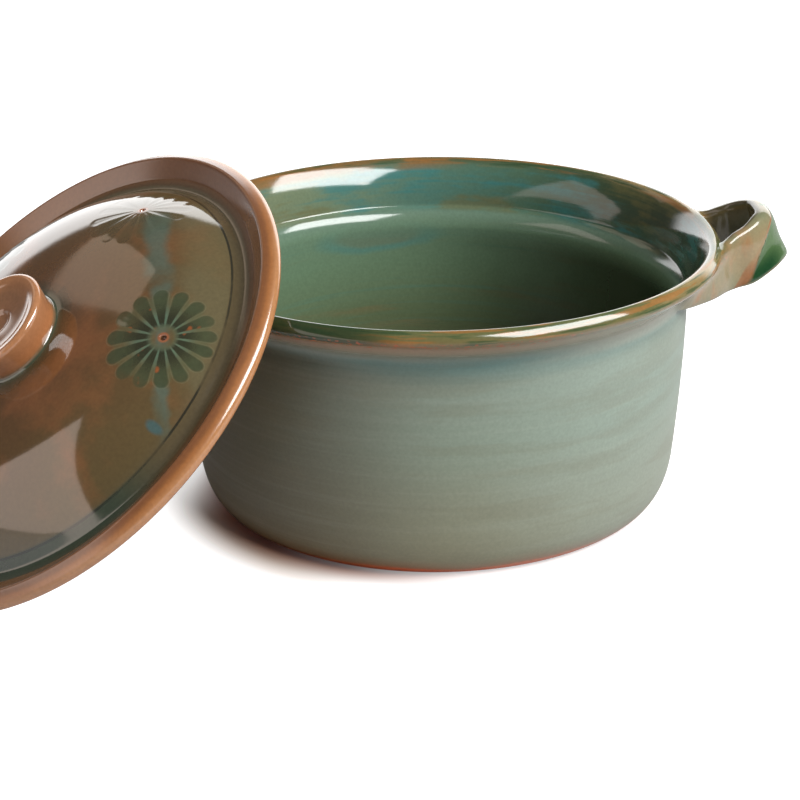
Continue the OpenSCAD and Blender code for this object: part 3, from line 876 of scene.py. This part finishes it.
def strap_glaze(graph, on):
    """The handles' olive and rusty glaze, deep green in the thumb's mark and thin on the ridge round it,
    with painted shade on the inner faces.
    """
    sweep, drop, face = (graph.attribute(name) for name in ("sweep", "drop", "face"))
    cloud = on.cloud
    edge = (drop / THUMB_END).math("MINIMUM", 1.0) ** 0.5 * THUMB_SPREAD
    off_middle = abs(sweep) / edge.math("MAXIMUM", 0.05) + (cloud - 0.5) * 0.25
    outer = graph.between(-0.15, 0.2, face)
    rust = graph.noise(graph.stretched(on.place, 1, 1, 0.5), 70, 5)
    dish = graph.between(1.02, 0.9, off_middle) * outer * graph.between(0.97, 0.92, drop)
    dark = graph.between(0.5, 0.85, drop) * graph.between(0.1, 0.6, off_middle)
    ridge = graph.band(0.93, 1.06, 0.08, off_middle) * outer * graph.between(0.99, 0.93, drop)
    clay = graph.mix(graph.between(0.4, 0.6, cloud), paint(142, 124, 92), paint(112, 120, 92))
    return graph.coats(clay, [
        (graph.between(0.48, 0.7, rust) * 0.8, paint(160, 108, 66)),
        (dish, graph.mix(dark, paint(76, 102, 62), paint(24, 60, 32))),
        (ridge * graph.between(0.36, 0.5, cloud) * 0.85, paint(142, 86, 40)),
        (graph.between(0.9, 0.97, drop) * graph.between(0.45, 0.25, abs(sweep)), paint(122, 112, 78)),
        # The inner faces, which look onto the pot: dark green and brown glaze, darkened as painted shade.
        (graph.between(0.0, -0.5, face) * 0.9, graph.mix(cloud, paint(36, 60, 38), paint(84, 58, 38)))])


def paint_pot(at):
    """Sage, teal and brown glazes brushed over terracotta, satin on the wall and glossy round the mouth."""
    material, graph = new_material("sage glaze")
    place = graph.add("ShaderNodeTexCoord", None, None, "Object")
    x, y, z = graph.parts(place)
    run, strap = graph.attribute("run"), graph.attribute("strap")
    brush = graph.streaks(x, y, run, 7, 300, 5)
    wide_brush = graph.streaks(x, y, run, 10, 90, 4)
    on = SimpleNamespace(place=place, x=x, y=y, z=z, run=run, brush=brush, wide_brush=wide_brush,
                         cloud=graph.noise(place, 18, 5))
    grain = graph.noise(place, 700, 3)
    colour = graph.coats(pot_colours(graph, at, on), [
        *mouth_coats(graph, at, on), *lip_coats(graph, at, on), *wall_coats(graph, at, on),
        (strap, strap_glaze(graph, on))])
    gloss = graph.levels(run, [
        (0, 0.8), (at("heel", 1), 0.7), (at("heel", 6), 0.42), (at("neck", -4), 0.4), (at("flare", 2), 0.26),
        (at("bead"), 0.1), (at("seat"), 0.09), (at("inside", 4), 0.2), (at("bowl"), 0.3),
        (at("floor", 70), 0.34)])
    gloss = graph.mix(strap, gloss, (0.12,) * 3)
    mouth = graph.band(at("bead"), at("seat"), 0.004, run)
    thick_glaze = graph.noise(place, 160, 3) * 0.016 + brush * 0.022 + graph.noise(place, 48, 2) * 0.07
    height = brush * 0.012 + wide_brush * 0.02 + grain * 0.003 + thick_glaze * mouth.math("MAXIMUM", strap)
    finish_glaze(graph, graph.speckled(colour, grain, 0.93, 1.06), gloss, height, 1.6)
    return material


def lid_colours(graph, at, on):
    """The colours that change along the outline, from the middle of the knob to the dome's underside, with
    painted shade round the knob's foot.
    """
    return graph.ramp(on.run + (on.cloud - 0.5) * 0.003, [
        (0, paint(146, 104, 74)), (at("knob rim", -8), paint(134, 96, 68)),
        (at("knob rim"), paint(168, 118, 80)), (at("knob side"), paint(164, 112, 76)),
        # At the knob's foot a dark teal line of glaze, then dark brown that lightens over the dome's first 6
        # mm: painted shade round the knob.
        (at("knob foot", -3), paint(164, 106, 66)), (at("knob foot", -0.5), paint(58, 70, 54)),
        (at("dome"), paint(60, 56, 38)),
        (at("dome", 6), paint(94, 64, 37)), (at("dome foot", -4), paint(86, 72, 44)),
        (at("channel"), paint(90, 80, 58)), (at("lip", -4), paint(90, 68, 44)),
        (at("lip"), paint(120, 80, 48)), (at("roll"), paint(116, 72, 40)),
        (at("roll", 1.5), paint(148, 94, 50)), (at("roll", 4.5), paint(172, 122, 80)),
        (at("keel"), paint(178, 114, 70)),
        (at("keel", 12), paint(170, 108, 72)), (at("under"), paint(150, 98, 62)),
        (at("under", 100), paint(134, 90, 58))])


def drip_line(x, y):
    """How far along the drip's bowed line a point lies, 0 at its start and 1 at its end, and how far off."""
    length = math.hypot(*DRIP_SPAN)
    from_x, from_y = x - DRIP_START[0] * MM, y - DRIP_START[1] * MM
    along = (from_x * DRIP_SPAN[0] + from_y * DRIP_SPAN[1]) / (length * length * MM)
    bow = (along.math("MAXIMUM", 0.0).math("MINIMUM", 1.0) * math.pi).math("SINE")
    off = from_x * (DRIP_SPAN[1] / length) + from_y * (-DRIP_SPAN[0] / length) + bow * (DRIP_BOW * MM)
    return along, off


def dome_coats(graph, at, on):
    """Olive and rusty patches on the dome, its teal drip, and dark glaze pooled in the channel."""
    dome, cloud, rust = on.dome, on.cloud, on.rust
    along, off = drip_line(on.x, on.y)
    olive_side = graph.between(-0.002, -0.014, off + (cloud - 0.5) * 0.03)
    patches = graph.noise(on.local, 9, 3)
    bright = graph.between(-0.012, 0.008, off) * 0.45 + 0.2
    width = graph.add("ShaderNodeMapRange", None, {
        "Value": along, "From Min": 0.2, "From Max": 0.9, "To Min": 0.008, "To Max": 0.0035})
    drip = (graph.between(1.0, 0.3, (abs(off) + (rust - 0.5) * 0.014) / width)
            * graph.band(0.0, 1.02, 0.06, along))
    blob = off_oval(on.x, on.y, (-2, 94.5), (2.4, 3)) + (rust - 0.5) * 2.2
    channel = graph.band(at("dome foot", 1), at("lip", -3), 0.002, on.run)
    dark_green_side = graph.between(1.6, 1.2, on.azimuth) * graph.between(-0.4, 0.2, on.azimuth)
    groove = graph.band(at("dome foot", 0.5), at("dome foot", 1), 0.0005, on.run)
    return [
        (dome * olive_side * 0.85, paint(96, 88, 62)),
        (dome * graph.between(0.5, 0.66, patches) * 0.4, paint(92, 80, 48)),
        (dome * graph.between(0.48, 0.66, rust * 0.5 + cloud * 0.5) * bright, paint(132, 84, 50)),
        (dome * drip * graph.between(0.35, 0.6, cloud) * 0.65, paint(72, 98, 88)),
        (graph.between(1.3, 0.5, blob) * 0.7, paint(54, 92, 96)),
        (channel * dark_green_side * 0.85, paint(46, 62, 50)),
        (groove * graph.between(0.3, 0.55, cloud) * 0.85, paint(26, 28, 20))]


def rosette_coats(graph, on):
    """The rosettes: an olive field, teal towards the middle, dark petals with rusty specks, and a bare vent.
    All but the first are worn."""
    dome, rust = on.dome, on.rust
    across, along, middle, reach = in_rosette(on.x, on.y)
    away, outwards = in_petal(graph, across, along, reach)
    worn = graph.between(2.55, 2.35, abs(on.azimuth)) * 0.75 + 0.25
    inside = graph.between(1.08, 0.76, away + (rust - 0.5) * 0.3) * worn
    field = graph.between(1.06, 0.9, along / reach) * graph.between(0.002, 0.006, middle) * worn
    star = graph.between(0.85, 0.4, along / reach) * graph.between(0.004, 0.008, middle) * worn
    outer_end = graph.between(0.35, 0.95, outwards + (rust - 0.5) * 0.9)
    specks = graph.noise(on.local, 150, 1)
    rim = graph.band(0.98, 1.06, 0.07, away) * graph.between(0.6, 0.85, outwards)
    return [
        (dome * field * 0.6, paint(80, 84, 58)),
        (dome * star * graph.between(0.35, 0.6, rust) * 0.7, paint(80, 108, 90)),
        (dome * inside * graph.between(0.0, 0.2, outwards) * graph.between(0.1, 0.6, rust) * 0.9,
         graph.mix(outer_end, paint(36, 32, 14), paint(58, 66, 44))),
        (dome * inside * graph.between(0.67, 0.74, specks) * 0.8, paint(140, 76, 38)),
        (dome * rim * graph.between(0.35, 0.6, rust) * worn * 0.25, paint(110, 112, 84)),
        (dome * graph.between(0.003, 0.002, middle) * 0.85, paint(142, 84, 52))]


def paint_lid(at):
    """Brown and olive glazes over terracotta, with a teal drip and petals where the dark glaze lies deep."""
    material, graph = new_material("brown glaze")
    place = graph.add("ShaderNodeTexCoord", None, None, "Object")
    local = graph.add("ShaderNodeMapping", {"vector_type": "TEXTURE"}, {
        "Vector": place, "Location": LID_PLACE.translation, "Rotation": LID_PLACE.to_euler()})
    x, y, _ = graph.parts(local)
    run = graph.attribute("run")
    brush = graph.streaks(x, y, run, 8, 260, 5)
    grain = graph.noise(local, 600, 3)
    rust = graph.noise(local, 40, 5)
    on = SimpleNamespace(local=local, x=x, y=y, run=run, rust=rust, azimuth=y.math("ARCTAN2", x),
                         cloud=graph.noise(local, 22, 5, 0.55, 0.6),
                         dome=graph.band(at("dome", 2), at("dome foot", -1), 0.003, run))
    colour = graph.coats(lid_colours(graph, at, on), dome_coats(graph, at, on) + rosette_coats(graph, on))
    gloss = graph.levels(run, [
        (0, 0.12), (at("dome"), 0.08), (at("dome foot"), 0.07), (at("lip"), 0.22), (at("roll", 3.5), 0.24),
        (at("roll", 4.8), 0.1), (at("keel"), 0.2), (at("keel", 20), 0.4), (at("under", 100), 0.4)])
    height = brush * 0.014 + graph.noise(local, 260, 3) * 0.008 + rust * 0.03
    finish_glaze(graph, graph.speckled(colour, grain, 0.92, 1.07), gloss, height, 1.9)
    return material


# The finished pieces

def show(mesh, name, node, glaze):
    """Makes a piece of a mesh, kept inside the box of the part, to stand for its CAD node."""
    set_positions(mesh, np.clip(positions(mesh), cad_low, cad_high))
    mesh.materials.clear()
    mesh.materials.append(glaze)
    mesh.polygons.foreach_set("material_index", np.zeros(len(mesh.polygons), np.int32))
    mesh.polygons.foreach_set("use_smooth", np.ones(len(mesh.polygons), bool))
    obj = scene_object(name, mesh)
    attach(obj, "root")
    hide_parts(node)


pot_mesh, pot_zones = make_pot()
show(pot_mesh, "cooking_pot", "pot", paint_pot(pot_zones))

lid_mesh, lid_zones = make_lid()
show(lid_mesh, "domed_lid", "lid", paint_lid(lid_zones))


# The studio

FLOOR_HALF = 4000
LAMP_AIM, LAMP_DISTANCE = (-0.03, 0, 0.1), 4
CAMERA_PLACE, CAMERA_PAN, CAMERA_TILT, CAMERA_ROLL = (0, -1.069154, 0.473878), 0.913, -21.975, -0.578
CAMERA_LENS, CAMERA_SENSOR = 108, 36


def paper():
    """White paper that glows white for the camera, darker and warmer where the pot shades it."""
    material, graph = new_material("white paper")
    eye = graph.add("ShaderNodeLightPath", None, None, "Is Camera Ray")
    x, y, _ = graph.parts(graph.add("ShaderNodeTexCoord", None, None, "Object"))
    from_pot = from_middle(x, y)
    near = graph.between(0.139, 0.112, from_pot)
    left = graph.between(-0.02, -0.08, x) * graph.between(0.02, -0.045, y)
    shade = graph.mix(near * left, (0.55,) * 3, (0.62, 0.5, 0.42))
    close = graph.between(0.12, 0.104, from_pot) * graph.between(0.03, -0.05, x)
    matt = graph.add("ShaderNodeBsdfDiffuse", None, {"Color": graph.mix(close, shade, (0.36, 0.15, 0.08))})
    level = eye * (near * (left * -0.55 - 0.42) + 1) * (close * -0.8 + 1)
    glow = graph.add("ShaderNodeEmission", None, {"Color": (1, 1, 1), "Strength": level})
    graph.add("ShaderNodeOutputMaterial", None, {
        "Surface": graph.add("ShaderNodeAddShader", None, {0: matt, 1: glow})})
    return material


def softbox(name, azimuth, elevation, width, height, level, twist=0, colour=(1, 1, 1)):
    """A lamp that faces the pot, in metres and degrees. Azimuth is from +Y towards +X."""
    a, e = math.radians(azimuth), math.radians(elevation)
    direction = Vector((math.sin(a) * math.cos(e), math.cos(a) * math.cos(e), math.sin(e)))
    data = bpy.data.lights.new(name, "AREA")
    data.shape, data.size, data.size_y = "RECTANGLE", width, height
    data.energy, data.color = level * math.pi * width * height, colour
    lamp = scene_object(name, data)
    lamp.location = Vector(LAMP_AIM) + direction * LAMP_DISTANCE
    facing = direction.to_track_quat("Z", "Y").to_matrix().to_4x4()
    lamp.rotation_euler = (facing @ rotation(twist, "Z")).to_euler()


def studio_world():
    """Dim all round, with a bright backdrop behind the pot for it to reflect. The camera sees it white."""
    world = bpy.data.worlds.new("studio")
    bpy.context.scene.world = world
    world.use_nodes = True
    graph = Graph(world.node_tree)
    side, back, up = graph.parts(graph.add("ShaderNodeTexCoord", None, None, "Generated"))
    reach = up - side.math("MINIMUM", 0.0) * 0.45
    backdrop = graph.between(0.63, 0.57, reach) * graph.between(0.6, 0.75, back)
    eye = graph.add("ShaderNodeLightPath", None, None, "Is Camera Ray")
    level = backdrop * 2.7 + 0.1
    level = level + eye * (level * -1 + 1)
    sky = graph.add("ShaderNodeBackground", None, {"Color": (1, 1, 1), "Strength": level})
    graph.add("ShaderNodeOutputWorld", None, {"Surface": sky})


def place_camera():
    data = bpy.data.cameras.new("camera")
    data.lens, data.sensor_width = CAMERA_LENS, CAMERA_SENSOR
    camera = scene_object("camera", data)
    camera.matrix_world = (Matrix.Translation(CAMERA_PLACE) @ rotation(CAMERA_PAN, "Z")
                           @ rotation(90 + CAMERA_TILT, "X") @ rotation(CAMERA_ROLL, "Z"))
    bpy.context.scene.camera = camera


corners = [(-FLOOR_HALF, -FLOOR_HALF, 0), (FLOOR_HALF, -FLOOR_HALF, 0),
           (FLOOR_HALF, FLOOR_HALF, 0), (-FLOOR_HALF, FLOOR_HALF, 0)]
floor = mesh_object("floor", corners, [(0, 1, 2, 3)])
floor.data.materials.append(paper())

softbox("right softbox", 121, 44, 3.33, 1.87, 13.2)
softbox("left softbox", -120.5, 8.5, 4.9, 3, 1.5, twist=-38, colour=(1, 0.84, 0.76))
softbox("back left softbox", -52, 41.5, 1.1, 2, 0.8, twist=-17, colour=(1, 0.78, 0.6))
studio_world()
place_camera()
bpy.context.scene.view_settings.view_transform = "Standard"
